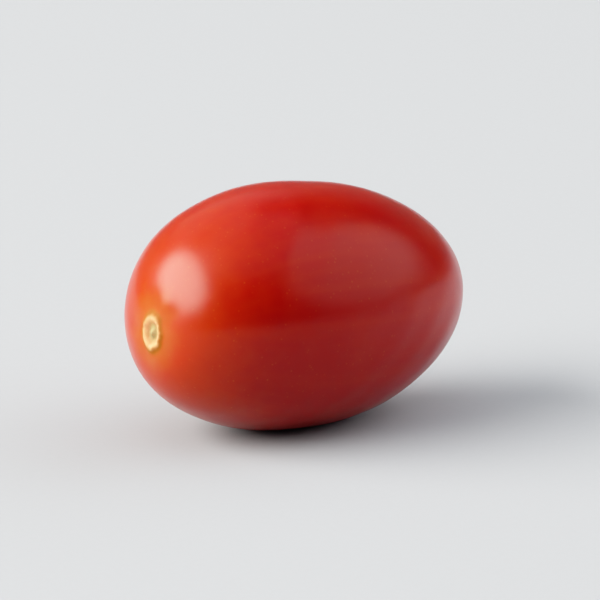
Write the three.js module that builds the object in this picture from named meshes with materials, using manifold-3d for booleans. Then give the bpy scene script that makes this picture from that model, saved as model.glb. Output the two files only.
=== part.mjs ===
// A ripe grape tomato of the small plum kind, picked without its stalk and lying on its side.
// Millimetres, +Z up. The fruit's long axis runs along X, with the stem end at -X.
// The origin is on the surface that the fruit lies on, under the middle of its outline.

import * as THREE from "three";
import { mergeVertices } from "three/addons/utils/BufferGeometryUtils.js";
import Module from "manifold-3d";

// The egg-shaped body
const LENGTH = 40.5; // from the stem end to the blossom end
const WIDTH = 26; // across the fullest place
const EGG = 0.104; // how much fuller the stem half is than the blossom half
const BLUNT = 0.056; // how much fuller both ends are than an ellipse's

// The seed chambers inside show as faint lobes
const THIRDS = { count: 3, share: 0.008, turn: 0.6 };
const HALVES = { count: 2, share: 0.006, turn: 0.35 };

// Each end drifts a little off the straight axis, sideways in Y and upwards in Z
const STEM_DRIFT = { y: -0.5, z: -1.1 };
const BLOSSOM_DRIFT = { y: 0.5, z: 0.3 };
const DRIFT_POWER = 10; // a higher power keeps the drift nearer the end

// The stem end: a shallow hollow, a corky ring, and a pit with the stub of the core in it
const HOLLOW = { radius: 3.6, depth: 0.4 };
const RING = { radius: 1.4, width: 0.42, height: 0.22 };
const PIT = { radius: 0.95, depth: 0.45 };
const STUB = { radius: 0.35, height: 0.3 };

// The blossom end: a low nub with the dry tip of the style on it
const NUB = { radius: 4.6, height: 0.4 };
const STYLE_TIP = { radius: 0.4, height: 0.15 };

// How the fruit lies: its full stem end is propped up, and its weight presses a small flat spot
const TILT = THREE.MathUtils.degToRad(3.9);
const FLAT_DEPTH = 0.3;

// How finely the surface is divided
const AROUND = 48;
const SCAR_EDGE = 2.4; // fine rings reach this far from the axis at the stem end
const SCAR_STEP = 0.2;
const BODY_RINGS = 46;

const SKIN = { color: 0xb5230f, roughness: 0.24, metalness: 0 };

// A smooth bump: 1 at zero, falling to almost nothing by 2.
const bell = (q) => Math.exp(-q * q);

// The egg's outline before it is brought to its width: t runs from 0 at the stem end to PI.
const eggOutline = (t) => Math.sin(t) * (1 + EGG * Math.cos(t) + BLUNT * Math.cos(t) ** 2);

// The largest value of the egg's outline, looked for in small steps.
function fullestOutline() {
  const steps = 2000;
  let fullest = 0;
  for (let i = 0; i <= steps; i++) fullest = Math.max(fullest, eggOutline((Math.PI * i) / steps));
  return fullest;
}

const RADIUS_SCALE = WIDTH / 2 / fullestOutline();
const radiusAt = (t) => RADIUS_SCALE * eggOutline(t);

// How far the stem end's surface is sunk below the egg, at a radius r from the axis.
function stemSink(r) {
  const hollow = HOLLOW.depth * bell(r / HOLLOW.radius);
  const ring = RING.height * bell((r - RING.radius) / RING.width);
  const pit = PIT.depth * bell((r / PIT.radius) ** 2);
  const stub = STUB.height * bell(r / STUB.radius);
  return hollow - ring + pit - stub;
}

// How far the blossom end's surface stands out from the egg, at a radius r from the axis.
function blossomRise(r) {
  return NUB.height * bell(r / NUB.radius) + STYLE_TIP.height * bell(r / STYLE_TIP.radius);
}

// Where a ring lies along the axis: the egg, with the relief of whichever end it is on.
function axialAt(t) {
  const r = radiusAt(t);
  const relief = Math.cos(t) > 0 ? stemSink(r) : blossomRise(r);
  return (-LENGTH / 2) * Math.cos(t) + relief;
}

// The rings' angles: close together over the stem scar, then even over the rest.
function ringAngles() {
  const anglePerRadius = 1 / (RADIUS_SCALE * (1 + EGG + BLUNT));
  const scarRings = Math.round(SCAR_EDGE / SCAR_STEP);
  const scarAngle = SCAR_EDGE * anglePerRadius;
  const angles = [];
  for (let i = 0; i < scarRings; i++) angles.push((scarAngle * i) / scarRings);
  for (let i = 0; i <= BODY_RINGS; i++) {
    angles.push(scarAngle + ((Math.PI - scarAngle) * i) / BODY_RINGS);
  }
  return angles;
}

// The share by which one set of lobes swells the fruit at a place round its axis.
const lobe = (lobes, around) => lobes.share * Math.cos(lobes.count * around + lobes.turn);

// The fruit as a body of revolution, turned to lie along X, then given its lobes and drift.
function fruitGeometry() {
  const angles = ringAngles();
  const profile = angles.map((t) => new THREE.Vector2(radiusAt(t), axialAt(t)));
  profile[0].x = 0;
  profile[profile.length - 1].x = 0;
  const fruit = new THREE.LatheGeometry(profile, AROUND);
  fruit.rotateZ(-Math.PI / 2);
  const position = fruit.getAttribute("position");
  const point = new THREE.Vector3();
  for (let i = 0; i < position.count; i++) {
    const t = angles[i % angles.length];
    point.fromBufferAttribute(position, i);
    const around = Math.atan2(point.z, point.y);
    const swell = 1 + Math.sin(t) ** 2 * (lobe(THIRDS, around) + lobe(HALVES, around));
    const nearStem = ((1 + Math.cos(t)) / 2) ** DRIFT_POWER;
    const nearBlossom = ((1 - Math.cos(t)) / 2) ** DRIFT_POWER;
    point.y = point.y * swell + STEM_DRIFT.y * nearStem + BLOSSOM_DRIFT.y * nearBlossom;
    point.z = point.z * swell + STEM_DRIFT.z * nearStem + BLOSSOM_DRIFT.z * nearBlossom;
    position.setXYZ(i, point.x, point.y, point.z);
  }
  return fruit;
}

// The fruit set down on the surface: tilted, centred, and sunk by the depth of its flat spot.
function setDown(fruit) {
  fruit.rotateY(TILT);
  fruit.computeBoundingBox();
  const middle = fruit.boundingBox.getCenter(new THREE.Vector3());
  fruit.translate(-middle.x, -middle.y, -fruit.boundingBox.min.z - FLAT_DEPTH);
  return fruit;
}

const wasm = await Module();
wasm.setup();

// A closed three.js geometry as a solid, its shared vertices merged.
function toSolid(geometry) {
  geometry.deleteAttribute("normal");
  geometry.deleteAttribute("uv");
  const merged = mergeVertices(geometry);
  const vertProperties = merged.getAttribute("position").array;
  const triVerts = new Uint32Array(merged.index.array);
  return new wasm.Manifold(new wasm.Mesh({ numProp: 3, vertProperties, triVerts }));
}

// A solid as a three.js geometry.
function toGeometry(solid) {
  const { vertProperties, triVerts } = solid.getMesh();
  const geometry = new THREE.BufferGeometry();
  geometry.setAttribute("position", new THREE.BufferAttribute(vertProperties, 3));
  geometry.setIndex(new THREE.BufferAttribute(triVerts, 1));
  geometry.computeVertexNormals();
  return geometry;
}

// Everything below the surface that the fruit lies on, which the flat spot loses.
function belowSurface() {
  return new THREE.BoxGeometry(2 * LENGTH, 2 * WIDTH, WIDTH).translate(0, 0, -WIDTH / 2);
}

const tomato = new THREE.Mesh(
  toGeometry(toSolid(setDown(fruitGeometry())).subtract(toSolid(belowSurface()))),
  new THREE.MeshStandardMaterial(SKIN),
);
tomato.name = "tomato";

const part = new THREE.Group();
part.add(tomato);

export default part;
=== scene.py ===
"""A ripe grape tomato of the small plum kind, lying on its side on a pale studio floor.

The skin is one closed surface, worked out from the same sizes as the solid that it stands for, with a fine
stem scar and style tip. Sizes named in millimetres become metres on the way into the mesh.
"""
import math

import bpy
import numpy as np
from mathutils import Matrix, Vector


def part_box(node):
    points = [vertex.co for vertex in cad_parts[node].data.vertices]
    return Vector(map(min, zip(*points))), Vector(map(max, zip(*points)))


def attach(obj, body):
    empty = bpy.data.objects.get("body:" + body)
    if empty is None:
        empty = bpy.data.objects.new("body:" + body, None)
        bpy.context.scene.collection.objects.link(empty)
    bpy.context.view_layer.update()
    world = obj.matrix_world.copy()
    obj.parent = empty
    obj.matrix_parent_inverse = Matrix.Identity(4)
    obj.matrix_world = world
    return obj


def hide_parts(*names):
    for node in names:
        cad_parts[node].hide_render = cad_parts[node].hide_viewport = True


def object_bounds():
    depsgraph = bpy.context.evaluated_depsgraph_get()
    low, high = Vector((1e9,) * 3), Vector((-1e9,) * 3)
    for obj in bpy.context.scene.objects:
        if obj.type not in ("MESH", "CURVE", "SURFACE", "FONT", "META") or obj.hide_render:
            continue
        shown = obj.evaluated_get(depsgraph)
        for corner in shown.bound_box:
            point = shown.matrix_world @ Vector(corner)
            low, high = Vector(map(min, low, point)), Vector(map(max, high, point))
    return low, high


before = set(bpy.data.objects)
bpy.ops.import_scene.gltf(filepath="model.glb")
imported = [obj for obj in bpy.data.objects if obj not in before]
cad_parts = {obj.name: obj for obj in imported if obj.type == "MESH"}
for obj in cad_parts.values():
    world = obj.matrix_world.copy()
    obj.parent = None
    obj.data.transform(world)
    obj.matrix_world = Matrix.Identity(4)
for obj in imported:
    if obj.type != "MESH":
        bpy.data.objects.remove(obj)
cad_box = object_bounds()

MM = 0.001

# The egg-shaped body, in millimetres: its stem end is at -X, and drift is how far each end is off the axis
LENGTH = 40.5
WIDTH = 26.0
STEM_DRIFT = (-0.5, -1.1)
BLOSSOM_DRIFT = (0.5, 0.3)
FLAT_DEPTH = 0.3

# The body's form as shares of its radius, how close to its ends the drift keeps, and the fruit's tilt
EGG = 0.104
BLUNT = 0.056
THIRDS = {"count": 3, "share": 0.008, "turn": 0.6}
HALVES = {"count": 2, "share": 0.006, "turn": 0.35}
DRIFT_POWER = 10
TILT = math.radians(3.9)

# The stem end and the blossom end, in millimetres
HOLLOW = {"radius": 3.6, "depth": 0.4}
RING = {"radius": 1.4, "width": 0.42, "height": 0.22}
PIT = {"radius": 0.95, "depth": 0.45}
STUB = {"radius": 0.35, "height": 0.3}
NUB = {"radius": 4.6, "height": 0.4}
STYLE_TIP = {"radius": 0.4, "height": 0.15}

# What the fine surface adds to the solid's form, in millimetres
PITH = {"radius": 0.85, "height": 0.34}
PUCKER = {"count": 5, "radius": 3.1, "width": 1.3, "depth": 0.05}
CORK_GRAIN = {"radius": 1.0, "width": 0.8}
BROAD_SWELL = {"height": 0.05, "round": range(1, 5), "along": range(1, 6), "seed": 17}
FINE_SWELL = {"height": 0.01, "round": range(8, 17), "along": range(6, 15), "seed": 19}

# Uneven waves round the axis: how far each swings, its whole counts, and the seed of its phases. The cork's
# grain swings in millimetres, the sepals in radians, and the others as shares of what they change
SCAR_WAVE = {"swing": 0.08, "counts": range(3, 9), "seed": 3}
RING_WAVE = {"swing": 0.5, "counts": range(3, 14), "seed": 5}
SEPAL_WAVE = {"swing": 1.0, "counts": range(1, 4), "seed": 7}
GRAIN_WAVE = {"swing": 0.045, "counts": range(9, 40, 3), "seed": 11}
TIP_WAVE = {"swing": 0.35, "counts": range(2, 6), "seed": 13}

# The scar's stretch to an oval, as a share, and the waves that the cork's grain makes outwards, in radians
# for each millimetre and for each swing of the sepals
SCAR_OVAL = 0.14
GRAIN_OUTWARDS = 9
GRAIN_SWAY = 2

# How finely the surface is divided: the points round a ring, and the rings, which lie closest within the
# edges of the scar and of the style tip, in millimetres from the middle of each
AROUND = 288
SCAR_EDGE = 2.8
SCAR_RINGS = 76
BODY_RINGS = 210
TIP_EDGE = 1.2
TIP_RINGS = 24

# Steps along the egg's outline in the search for its widest place
OUTLINE_STEPS = 2001

# The photograph's view, as angles round the fruit in degrees and a distance in metres
CAMERA_AZIMUTH = -39.8
CAMERA_ELEVATION = 14.6
CAMERA_DISTANCE = 0.733
SENSOR_MM = 36.0
FRAME_WIDTH_MM = 62.5

# The camera's tone scale: levels of light, with the tone that each is shown as
TONES = ((0.02, 0.006), (0.06, 0.043), (0.25, 0.235), (0.5, 0.467), (0.9, 0.75), (1.4, 0.945), (2.2, 1.0))

# The curve for all channels together comes after those for red, green and blue
ALL_CHANNELS = 3

# The Mix node repeats its socket names, so its colour sockets go by number
FACTOR, BELOW, ABOVE, MIXED = 0, 6, 7, 2


def linear(hex_colour):
    """An sRGB hex colour as linear RGBA."""
    channels = np.array([int(hex_colour[i:i + 2], 16) for i in (1, 3, 5)]) / 255
    low = channels / 12.92
    high = ((channels + 0.055) / 1.055) ** 2.4
    return (*np.where(channels <= 0.04045, low, high).tolist(), 1.0)


def bell(q):
    """A smooth bump: 1 at zero, falling to almost nothing by 2."""
    return np.exp(-q * q)


def egg_outline(t):
    """The egg's radius before it is brought to its width: a sine, fuller at the stem end, and blunt."""
    return np.sin(t) * (1 + EGG * np.cos(t) + BLUNT * np.cos(t) ** 2)


RADIUS_SCALE = WIDTH / 2 / egg_outline(np.linspace(0, np.pi, OUTLINE_STEPS)).max()


def ripple(wave, around):
    """An uneven wave round the axis: its swing times a mean of cosines of its counts, at seeded phases."""
    phases = np.random.default_rng(wave["seed"]).uniform(0, 2 * np.pi, len(wave["counts"]))
    return wave["swing"] * np.cos(np.multiply.outer(around, wave["counts"]) + phases).mean(-1)


def swells(swell, t, around):
    """Low swells of the skin: waves of every mix of counts round and along it, of a typical height."""
    round_count, along_count = np.meshgrid(swell["round"], swell["along"])
    phases = np.random.default_rng(swell["seed"]).uniform(0, 2 * np.pi, round_count.shape)
    height = np.zeros_like(t)
    for count, along, phase in zip(round_count.ravel(), along_count.ravel(), phases.ravel()):
        height += np.cos(count * around + 2 * along * t + phase)
    return swell["height"] * np.sin(t) ** 2 * height / math.sqrt(phases.size / 2)


def ring_angles():
    """The rings' angles from the stem end: close together over the scar and the style tip, even between.

    Close to an end the radius is the angle times the egg's slope there, which gives the angle of each edge.
    """
    scar_angle = SCAR_EDGE / (RADIUS_SCALE * (1 + EGG + BLUNT))
    tip_angle = np.pi - TIP_EDGE / (RADIUS_SCALE * (1 - EGG + BLUNT))
    scar = np.linspace(0, scar_angle, SCAR_RINGS, endpoint=False)
    body = np.linspace(scar_angle, tip_angle, BODY_RINGS, endpoint=False)
    return np.concatenate([scar, body, np.linspace(tip_angle, np.pi, TIP_RINGS)])


def scar_radius(r, around):
    """A place's distance from the scar's middle, stretched so that the scar is an uneven upright oval."""
    return r * (1 + SCAR_OVAL * np.cos(2 * around) + ripple(SCAR_WAVE, around))


def stem_sink(r, around):
    """How far the stem end is sunk below the egg: the hollow and pit, less the corky ring, stub and pith.

    Each is a bump over the distance from the scar's middle. Five puckers lie where the sepals grew, and
    the cork is roughened by waves that run both round and outwards.
    """
    q = scar_radius(r, around)
    hollow = HOLLOW["depth"] * bell(r / HOLLOW["radius"])
    on_ring = bell((q - RING["radius"]) / RING["width"])
    ring = RING["height"] * on_ring * (1 + ripple(RING_WAVE, around))
    pit = PIT["depth"] * bell((q / PIT["radius"]) ** 2)
    stub = STUB["height"] * bell(q / STUB["radius"])
    pith = PITH["height"] * bell(q / PITH["radius"])
    sepals = np.cos(PUCKER["count"] * around + ripple(SEPAL_WAVE, around))
    pucker = PUCKER["depth"] * sepals * bell((r - PUCKER["radius"]) / PUCKER["width"])
    grain = ripple(GRAIN_WAVE, around) * np.cos(GRAIN_OUTWARDS * q + GRAIN_SWAY * sepals)
    grained = bell((q - CORK_GRAIN["radius"]) / CORK_GRAIN["width"])
    on_cork = grained * (on_ring + bell(q / CORK_GRAIN["radius"]))
    return hollow - ring + pit - stub - pith + pucker + grain * on_cork


def tip_radius(r, around):
    """A place's distance from the middle of the style tip, stretched so that the tip isn't quite round."""
    return r * (1 + ripple(TIP_WAVE, around))


def blossom_rise(r, around):
    """How far the blossom end stands out from the egg: a low nub, and the dry tip of the style on it."""
    tip = STYLE_TIP["height"] * bell(tip_radius(r, around) / STYLE_TIP["radius"])
    return NUB["height"] * bell(r / NUB["radius"]) + tip


def lobe(lobes, around):
    """The share by which one set of lobes swells the fruit at a place round its axis."""
    return lobes["share"] * np.cos(lobes["count"] * around + lobes["turn"])


def fruit_surface():
    """The skin's points in millimetres, ring by ring, and the angles t and around of each point.

    A ring is a circle about X of the egg's radius, at minus half the length times the cosine of t, plus the
    relief of its end. Lobes and swells change its radius, and drift moves each end off the axis.
    """
    t, around = np.meshgrid(ring_angles(), np.arange(AROUND) * 2 * np.pi / AROUND, indexing="ij")
    r = RADIUS_SCALE * egg_outline(t)
    relief = np.where(np.cos(t) > 0, stem_sink(r, around), blossom_rise(r, around))
    x = -LENGTH / 2 * np.cos(t) + relief
    r = r * (1 + np.sin(t) ** 2 * (lobe(THIRDS, around) + lobe(HALVES, around)))
    r = r + swells(BROAD_SWELL, t, around) + swells(FINE_SWELL, t, around)
    near_stem = ((1 + np.cos(t)) / 2) ** DRIFT_POWER
    near_blossom = ((1 - np.cos(t)) / 2) ** DRIFT_POWER
    y = r * np.cos(around) + STEM_DRIFT[0] * near_stem + BLOSSOM_DRIFT[0] * near_blossom
    z = r * np.sin(around) + STEM_DRIFT[1] * near_stem + BLOSSOM_DRIFT[1] * near_blossom
    return np.stack([x, y, z], -1), t, around


def set_down(points, node):
    """The fruit in metres, tilted and set where its solid lies, what is under the floor pressed flat."""
    x, y, z = np.moveaxis(points * MM, -1, 0)
    x, z = math.cos(TILT) * x + math.sin(TILT) * z, math.cos(TILT) * z - math.sin(TILT) * x
    low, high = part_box(node)
    x = x + (low.x + high.x) / 2 - (x.min() + x.max()) / 2
    y = y + (low.y + high.y) / 2 - (y.min() + y.max()) / 2
    z = np.maximum(z - z.min() + low.z - FLAT_DEPTH * MM, low.z)
    return np.stack([x, y, z], -1)


def along_skin(t):
    """Each point's distance from the stem end over the smooth egg: the steps between rings, added up."""
    outwards = np.diff(RADIUS_SCALE * egg_outline(t), axis=0)
    along = np.diff(LENGTH / 2 * np.cos(t), axis=0)
    return np.concatenate([np.zeros_like(t[:1]), np.hypot(outwards, along).cumsum(0)])


def poles_closed(grid):
    """A value of each ring's points as one list, with the first and last ring each drawn to one point."""
    width = grid.shape[2:]
    inner = grid[1:-1].reshape(-1, *width)
    return np.concatenate([grid[:1].mean(1), inner, grid[-1:].mean(1)])


def skin_faces(rings):
    """Four-sided faces between neighbouring rings and a fan of triangles at each end, all facing out.

    The first point is the stem end, then come the inner rings' points, and the last is the blossom end.
    The second result is each corner's place on the flat map: round the fruit, and from ring to ring.
    """
    inner_rings = rings - 2
    ring, step = np.meshgrid(np.arange(inner_rings - 1), np.arange(AROUND), indexing="ij")
    ring, step = ring.ravel(), step.ravel()
    corners = [(0, 0), (0, 1), (1, 1), (1, 0)]
    quads = np.stack([1 + (ring + i) * AROUND + (step + j) % AROUND for i, j in corners], -1)
    quad_map = np.stack([np.stack([step + j, ring + i + 1], -1) for i, j in corners], 1)
    turn = np.arange(AROUND)
    after = (turn + 1) % AROUND
    last = (inner_rings - 1) * AROUND + 1
    tip = last + AROUND
    stem_fan = np.stack([np.zeros_like(turn), 1 + after, 1 + turn], -1)
    blossom_fan = np.stack([np.full_like(turn, tip), last + turn, last + after], -1)
    first_row, last_row = np.ones(AROUND), np.full(AROUND, float(inner_rings))
    stem_map = [(turn + 0.5, first_row - 1), (turn + 1, first_row), (turn, first_row)]
    blossom_map = [(turn + 0.5, last_row + 1), (turn, last_row), (turn + 1, last_row)]
    fan_maps = [np.stack([np.stack(place, -1) for place in fan], 1) for fan in (stem_map, blossom_map)]
    places = np.concatenate([part.reshape(-1, 2) for part in (quad_map, *fan_maps)])
    faces = quads.tolist() + stem_fan.tolist() + blossom_fan.tolist()
    return faces, places / (AROUND, rings - 1)


def tomato_skin():
    """The fruit's one closed surface, with what its material needs to know of each place.

    stem_mm is the distance from the middle of the stem scar over the skin, tip_mm the distance from the
    style tip, and grain holds a place's direction round the axis and its distance from the stem end.
    """
    points, t, around = fruit_surface()
    reach = along_skin(t)
    stem_mm = scar_radius(reach, around)
    tip_mm = tip_radius(reach.max() - reach, around)
    grain = np.stack([WIDTH / 2 * np.cos(around), WIDTH / 2 * np.sin(around), reach], -1)
    faces, places = skin_faces(len(points))
    mesh = bpy.data.meshes.new("tomato_skin")
    mesh.from_pydata(poles_closed(set_down(points, "tomato")), [], faces)
    mesh.uv_layers.new(name="OFBake").uv.foreach_set("vector", places.astype(np.float32).ravel())
    for name, kind, key, values in (
        ("stem_mm", "FLOAT", "value", stem_mm),
        ("tip_mm", "FLOAT", "value", tip_mm),
        ("grain", "FLOAT_VECTOR", "vector", grain),
    ):
        attribute = mesh.attributes.new(name, kind, "POINT")
        attribute.data.foreach_set(key, poles_closed(values).astype(np.float32).ravel())
    mesh.shade_smooth()
    skin = bpy.data.objects.new("tomato_skin", mesh)
    bpy.context.collection.objects.link(skin)
    return skin


def add(tree, kind, inputs=None, **settings):
    """Adds one shader node: settings are its properties, inputs its values or the sockets that feed it."""
    made = tree.nodes.new("ShaderNode" + kind)
    for name, value in settings.items():
        setattr(made, name, value)
    for name, value in (inputs or {}).items():
        if isinstance(value, bpy.types.NodeSocket):
            tree.links.new(value, made.inputs[name])
        else:
            made.inputs[name].default_value = value
    return made


def new_material(name):
    """An empty material, its node tree and its output."""
    material = bpy.data.materials.new(name)
    material.use_nodes = True
    material.node_tree.nodes.clear()
    return material, material.node_tree, add(material.node_tree, "OutputMaterial")


def per_mm(size):
    """The scale of a pattern on Object coordinates whose features are about this many millimetres."""
    return 1 / (size * MM)


# Sizes of the skin's patterns in millimetres, and the range that the values of a noise mostly keep to
PATCH_SIZE = 9
STREAK_WIDTH, STREAK_LENGTH = 5 / 3, 20
EDGE_SIZE = 1.6
SMEAR_SIZE = 4
NOISE_LOW, NOISE_HIGH = 0.3, 0.7

# The skin's finest relief, in millimetres: pores, drawn a little coarse so that they show, and pebbling
PORE = {"spacing": 0.6, "radius": 0.16, "depth": 0.003}
PEBBLE = {"size": 1.1, "height": 0.004}

# A pore is closed where its random tone is below the first of these, and fully open above the second
PORE_CLOSED, PORE_OPEN = 0.25, 0.75

# Ripe skin: an orange red, with crimson patches and faint streaks that run from end to end
RIPE_RED = "#94100C"
CRIMSON = "#90040A"
ORANGE_RED = "#A42A0C"
GOLD_FLECK = "#B8602A"

# Tints by the noise of the patches and of the streaks: where each starts, where it is whole, its share, and
# the colour
PATCH_TINTS = ((0.4, 0.75, 0.5, CRIMSON), (0.5, 0.25, 0.4, ORANGE_RED))
STREAK_TINTS = ((0.45, 0.8, 0.3, ORANGE_RED),)

# How much a pore's fleck shows near the scar and far from it, with the distances in millimetres
FLECK = {"near": 3.0, "near_share": 0.6, "far": 20.0, "far_share": 0.25}

# Rings of colour round the stem scar and round the style tip, in millimetres from its middle: where each is
# whole, where it ends, its share, and the colour
STEM_ZONES = (
    (3.0, 19.0, 0.65, "#AE3A0C"),
    (2.0, 5.2, 0.7, "#AA5416"),
    (1.65, 2.25, 0.8, "#8E5A1C"),
    (1.2, 1.75, 1.0, "#D69E70"),
    # The brown ring on the pit's wall is partly the cork's own colour and partly painted shade in the pit
    (0.8, 1.15, 0.35, "#8A5A30"),
    (0.5, 1.0, 0.9, "#94865A"),
    (0.2, 0.5, 0.5, "#B4A47A"),
)
TIP_ZONES = (
    (0.5, 2.4, 0.25, "#AC4614"),
    (0.3, 0.65, 0.85, "#8A4C22"),
    (0.1, 0.4, 1.0, "#54381E"),
)

# How far the edges of the rings of colour wander, as a share of their distance from the scar's middle
EDGE_WANDER = 0.1

# Where the dry cork of the scar and of the style tip is whole and where it ends, in millimetres
CORK_EDGE = (1.7, 2.6)
DRY_TIP_EDGE = (0.3, 0.6)

# What the waxy cuticle and the dry cork do with light: their roughness, the share of light that sinks in,
# the clear wax, and how far red light goes in the flesh, in millimetres
WAXY_ROUGHNESS = (0.3, 0.4)
DRY_ROUGHNESS = 0.7
WAXY_SUNK, DRY_SUNK = 0.6, 0.1
WAX, NO_WAX = 0.5, 0.0
FLESH_DEPTH = 6.0


def skin_pores(tree, place):
    """1 in the middle of an open pore, falling to 0 at its edge. Some are fainter or closed by chance."""
    pores = add(tree, "TexVoronoi", {"Vector": place, "Scale": per_mm(PORE["spacing"])})
    open_share = add(tree, "MapRange", {
        "Value": pores.outputs["Color"],
        "From Min": PORE_CLOSED,
        "From Max": PORE_OPEN,
    })
    pore = add(tree, "MapRange", {
        "Value": pores.outputs["Distance"],
        "From Min": PORE["radius"] / PORE["spacing"],
        "From Max": 0.0,
        "To Max": open_share.outputs["Result"],
    }, interpolation_type="SMOOTHSTEP")
    return pore.outputs["Result"]


def wandering(tree, place, distance):
    """A distance that is longer here and shorter there, so that a ring of colour has an uneven edge."""
    noise = add(tree, "TexNoise", {"Vector": place, "Scale": per_mm(EDGE_SIZE), "Detail": 3.0})
    wander = add(tree, "MapRange", {
        "Value": noise.outputs["Fac"],
        "From Min": NOISE_LOW,
        "From Max": NOISE_HIGH,
        "To Min": 1 - EDGE_WANDER,
        "To Max": 1 + EDGE_WANDER,
    })
    product = add(tree, "Math", {0: distance, 1: wander.outputs["Result"]}, operation="MULTIPLY")
    return product.outputs["Value"]


def mottling(tree, place):
    """Patches and streaks of other reds, as layers: how much each shows at a place, and its colour."""
    patches = add(tree, "TexNoise", {
        "Vector": place,
        "Scale": per_mm(PATCH_SIZE),
        "Detail": 4.0,
        "Roughness": 0.6,
    })
    grain = add(tree, "Attribute", attribute_name="grain").outputs["Vector"]
    drawn_out = (1 / STREAK_WIDTH, 1 / STREAK_WIDTH, 1 / STREAK_LENGTH)
    streak_place = add(tree, "Mapping", {"Vector": grain, "Scale": drawn_out}).outputs["Vector"]
    streaks = add(tree, "TexNoise", {"Vector": streak_place, "Scale": 1.0, "Detail": 3.0})
    layers = []
    for noise, tints in ((patches, PATCH_TINTS), (streaks, STREAK_TINTS)):
        for start, whole, share, tint in tints:
            shown = add(tree, "MapRange", {
                "Value": noise.outputs["Fac"],
                "From Min": start,
                "From Max": whole,
                "To Max": share,
            })
            layers.append((shown.outputs["Result"], tint))
    return layers


def pore_fleck(tree, stem, pore):
    """The pores' pale fleck as a layer, which shows more near the scar."""
    fleck_share = add(tree, "MapRange", {
        "Value": stem,
        "From Min": FLECK["near"],
        "From Max": FLECK["far"],
        "To Min": FLECK["near_share"],
        "To Max": FLECK["far_share"],
    })
    fleck = add(tree, "Math", {0: pore, 1: fleck_share.outputs["Result"]}, operation="MULTIPLY")
    return fleck.outputs["Value"], GOLD_FLECK


def colour_rings(tree, stem, tip):
    """Rings of colour as layers, each lying closer in on the scar or on the style tip than the last."""
    layers = []
    for distance, zones in ((stem, STEM_ZONES), (tip, TIP_ZONES)):
        for whole, end, share, tint in zones:
            shown = add(tree, "MapRange", {
                "Value": distance,
                "From Min": whole,
                "From Max": end,
                "To Min": share,
                "To Max": 0.0,
            }, interpolation_type="SMOOTHSTEP")
            layers.append((shown.outputs["Result"], tint))
    return layers


def skin_colour(tree, place, stem, tip, pore):
    """Ripe red under patches, streaks and pale pores, and over them the rings of colour at each end."""
    colour = linear(RIPE_RED)
    layers = [*mottling(tree, place), pore_fleck(tree, stem, pore), *colour_rings(tree, stem, tip)]
    for shown, tint in layers:
        mixed = add(tree, "Mix", {FACTOR: shown, BELOW: colour, ABOVE: linear(tint)}, data_type="RGBA")
        colour = mixed.outputs[MIXED]
    return colour


def dryness(tree, stem, tip):
    """1 on the cork of the scar and on the style tip, falling to 0 on the waxy skin."""
    dry = []
    for distance, (whole, end) in ((stem, CORK_EDGE), (tip, DRY_TIP_EDGE)):
        shown = add(tree, "MapRange", {
            "Value": distance,
            "From Min": whole,
            "From Max": end,
            "To Min": 1.0,
            "To Max": 0.0,
        }, interpolation_type="SMOOTHSTEP")
        dry.append(shown.outputs["Result"])
    return add(tree, "Math", {0: dry[0], 1: dry[1]}, operation="MAXIMUM").outputs["Value"]


def skin_relief(tree, place, pore):
    """The normal of faintly pebbled skin, with each pore a tiny dimple."""
    cells = add(tree, "TexNoise", {"Vector": place, "Scale": per_mm(PEBBLE["size"]), "Detail": 1.0})
    pebbles = add(tree, "Math", {0: cells.outputs["Fac"], 1: PEBBLE["height"]}, operation="MULTIPLY")
    dimpled = add(tree, "Math", {
        0: pore,
        1: -PORE["depth"],
        2: pebbles.outputs["Value"],
    }, operation="MULTIPLY_ADD")
    return add(tree, "Bump", {"Height": dimpled.outputs["Value"], "Distance": MM}).outputs["Normal"]


def ripe_skin():
    """Waxy tomato cuticle over wet red flesh, and dry cork at the stem scar and the style tip.

    A thin clear wax gives the sharp part of the gloss, and light that sinks into the flesh comes out redder
    and softens the shade. The cork is matt, and pale at the scar.
    """
    material, tree, output = new_material("waxy_tomato_cuticle")
    place = add(tree, "TexCoord").outputs["Object"]
    stem = wandering(tree, place, add(tree, "Attribute", attribute_name="stem_mm").outputs["Fac"])
    tip = add(tree, "Attribute", attribute_name="tip_mm").outputs["Fac"]
    pore = skin_pores(tree, place)
    dry = dryness(tree, stem, tip)

    smear = add(tree, "TexNoise", {"Vector": place, "Scale": per_mm(SMEAR_SIZE), "Detail": 4.0})
    waxy_roughness = add(tree, "MapRange", {
        "Value": smear.outputs["Fac"],
        "From Min": NOISE_LOW,
        "From Max": NOISE_HIGH,
        "To Min": WAXY_ROUGHNESS[0],
        "To Max": WAXY_ROUGHNESS[1],
    }).outputs["Result"]
    roughness = add(tree, "MapRange", {"Value": dry, "To Min": waxy_roughness, "To Max": DRY_ROUGHNESS})
    sunk = add(tree, "MapRange", {"Value": dry, "To Min": WAXY_SUNK, "To Max": DRY_SUNK})
    wax = add(tree, "MapRange", {"Value": dry, "To Min": WAX, "To Max": NO_WAX})

    shader = add(tree, "BsdfPrincipled", {
        "Base Color": skin_colour(tree, place, stem, tip, pore),
        "Roughness": roughness.outputs["Result"],
        "IOR": 1.28,
        "Subsurface Weight": sunk.outputs["Result"],
        "Subsurface Radius": (1.0, 0.2, 0.1),
        "Subsurface Scale": FLESH_DEPTH * MM,
        "Coat Weight": wax.outputs["Result"],
        "Coat Roughness": 0.16,
        "Coat IOR": 1.36,
        "Normal": skin_relief(tree, place, pore),
    })
    tree.links.new(shader.outputs["BSDF"], output.inputs["Surface"])
    return material


# Background paper: its two greys, the size of its tooth in millimetres, drawn coarse so that it shows, and
# how far the sheet reaches each way in metres
PAPER_GREYS = ("#A0A5AB", "#A3A8AE")
PAPER_TOOTH = 0.8
FLOOR_REACH = 4.0


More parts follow.
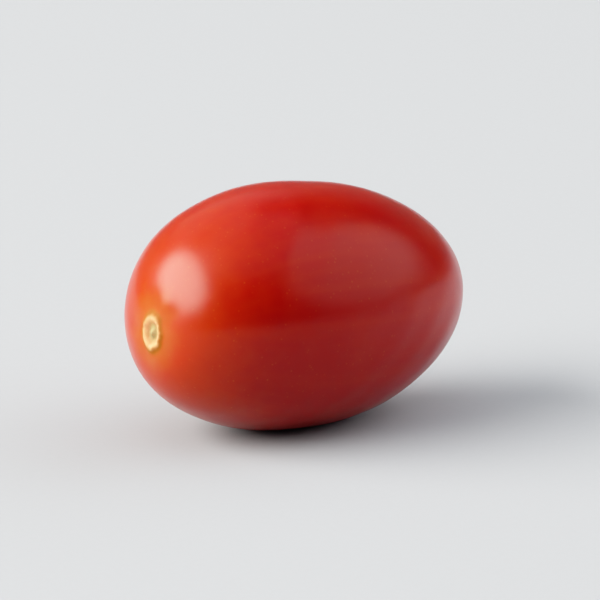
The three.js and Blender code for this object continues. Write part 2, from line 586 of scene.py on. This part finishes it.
def studio_paper():
    """Matt pale grey background paper: an even tone with a faint tooth."""
    material, tree, output = new_material("studio_paper")
    place = add(tree, "TexCoord").outputs["Object"]
    tooth = add(tree, "TexNoise", {"Vector": place, "Scale": per_mm(PAPER_TOOTH), "Detail": 3.0})
    low, high = map(linear, PAPER_GREYS)
    grey = add(tree, "Mix", {FACTOR: tooth.outputs["Fac"], BELOW: low, ABOVE: high}, data_type="RGBA")
    shader = add(tree, "BsdfPrincipled", {"Base Color": grey.outputs[MIXED], "Roughness": 0.9})
    tree.links.new(shader.outputs["BSDF"], output.inputs["Surface"])
    return material


def studio_floor():
    """A flat square sheet of paper that reaches past every view."""
    corners = np.array([(-1, -1, 0), (1, -1, 0), (1, 1, 0), (-1, 1, 0)]) * FLOOR_REACH
    mesh = bpy.data.meshes.new("studio_floor")
    mesh.from_pydata(corners, [], [(0, 1, 2, 3)])
    floor = bpy.data.objects.new("studio_floor", mesh)
    floor.data.materials.append(studio_paper())
    bpy.context.collection.objects.link(floor)


def fruit_middle():
    """The middle of the solid's box."""
    low, high = cad_box
    return (Vector(low) + Vector(high)) / 2


def seen_from_fruit(azimuth, elevation, distance):
    """A place at so many degrees to the right of the camera and above the floor, as the fruit sees it."""
    turn = math.radians(CAMERA_AZIMUTH + azimuth)
    rise = math.radians(elevation)
    flat = math.cos(rise)
    way = Vector((math.sin(turn) * flat, -math.cos(turn) * flat, math.sin(rise)))
    return fruit_middle() + way * distance


def looking(thing, place, target):
    """Puts a light or a camera at a place, turned to look at a target."""
    thing.location = place
    thing.rotation_euler = (target - place).to_track_quat("-Z", "Y").to_euler()
    bpy.context.collection.objects.link(thing)


# Panels of light: degrees right of the camera and above the floor, distance, width and height in metres,
# how bright the panel's middle looks against white paper, its colour, and whether it shows as a reflection
PANELS = {
    "key_softbox": (-77, 32, 2.0, 3.5, 1.95, 13.3, "#FFF8EE", True),
    "left_glow": (-115, 58, 2.0, 3.2, 2.3, 0.25, "#FFFFFF", True),
    "back_glow": (-158, 42, 2.0, 2.5, 1.9, 0.53, "#FFF4E4", True),
    "back_sweep": (-170, 14, 2.0, 6.2, 2.5, 0.22, "#FFF4E4", True),
    "back_fill": (125, 30, 1.8, 3.2, 2.3, 2.2, "#FFFFFF", False),
    "right_reflector": (88, 30, 1.8, 3.4, 2.5, 1.3, "#FFFAF4", True),
    "overhead_scrim": (30, 82, 1.8, 3.4, 3.4, 0.75, "#FAFAFA", True),
}

# A panel's own coordinates run from 0 to 1 each way, so its rim is this far from its middle
PANEL_RIM = 0.5
PANEL_FADE = 0.25

# The light of the dim room all round
ROOM = "#989A9C"


def soft_edges(light):
    """A round cloth panel lit from behind: even in the middle, and fading to nothing at its rim."""
    light.use_nodes = True
    tree = light.node_tree
    place = add(tree, "NewGeometry").outputs["Parametric"]
    middle = (PANEL_RIM, PANEL_RIM, 0.0)
    outwards = add(tree, "VectorMath", {0: place, 1: middle}, operation="DISTANCE")
    glow = add(tree, "MapRange", {
        "Value": outwards.outputs["Value"],
        "From Min": PANEL_RIM,
        "From Max": PANEL_RIM - PANEL_FADE,
    }, interpolation_type="SMOOTHSTEP")
    tree.links.new(glow.outputs["Result"], tree.nodes["Emission"].inputs["Strength"])


def studio_lights():
    """Flat panels that face the fruit, in a dim room. The room and the back fill don't show as reflections.

    A light's power is its brightness times pi times its area, with the dark corners counted.
    """
    for name, (azimuth, elevation, distance, width, height, brightness, tint, mirrored) in PANELS.items():
        light = bpy.data.lights.new(name, "AREA")
        light.shape = "RECTANGLE"
        light.size, light.size_y = width, height
        light.energy = brightness * math.pi * width * height
        light.color = linear(tint)[:3]
        soft_edges(light)
        panel = bpy.data.objects.new(name, light)
        looking(panel, seen_from_fruit(azimuth, elevation, distance), fruit_middle())
        panel.visible_camera = False
        panel.visible_glossy = mirrored
    world = bpy.data.worlds.new("dim_room")
    world.use_nodes = True
    world.node_tree.nodes["Background"].inputs["Color"].default_value = linear(ROOM)
    world.cycles_visibility.glossy = False
    bpy.context.scene.world = world


def photo_camera():
    """A long lens at the photograph's angle and distance, framed on the one fruit."""
    lens = bpy.data.cameras.new("photo_camera")
    lens.sensor_width = SENSOR_MM
    lens.lens = SENSOR_MM * CAMERA_DISTANCE / (FRAME_WIDTH_MM * MM)
    camera = bpy.data.objects.new("photo_camera", lens)
    looking(camera, seen_from_fruit(0, CAMERA_ELEVATION, CAMERA_DISTANCE), fruit_middle())
    bpy.context.scene.camera = camera


def camera_response():
    """A soft toe, which deepens the reds, and a shoulder, which keeps the bright side from burning."""
    view = bpy.context.scene.view_settings
    view.view_transform = "Standard"
    view.use_curve_mapping = True
    response = view.curve_mapping
    response.clip_max_x = TONES[-1][0]
    points = response.curves[ALL_CHANNELS].points
    points[-1].location = TONES[-1]
    for light, tone in TONES[:-1]:
        points.new(light, tone)
    response.update()


skin = tomato_skin()
skin.data.materials.append(ripe_skin())
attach(skin, "root")
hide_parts("tomato")

studio_floor()
studio_lights()
photo_camera()
camera_response()
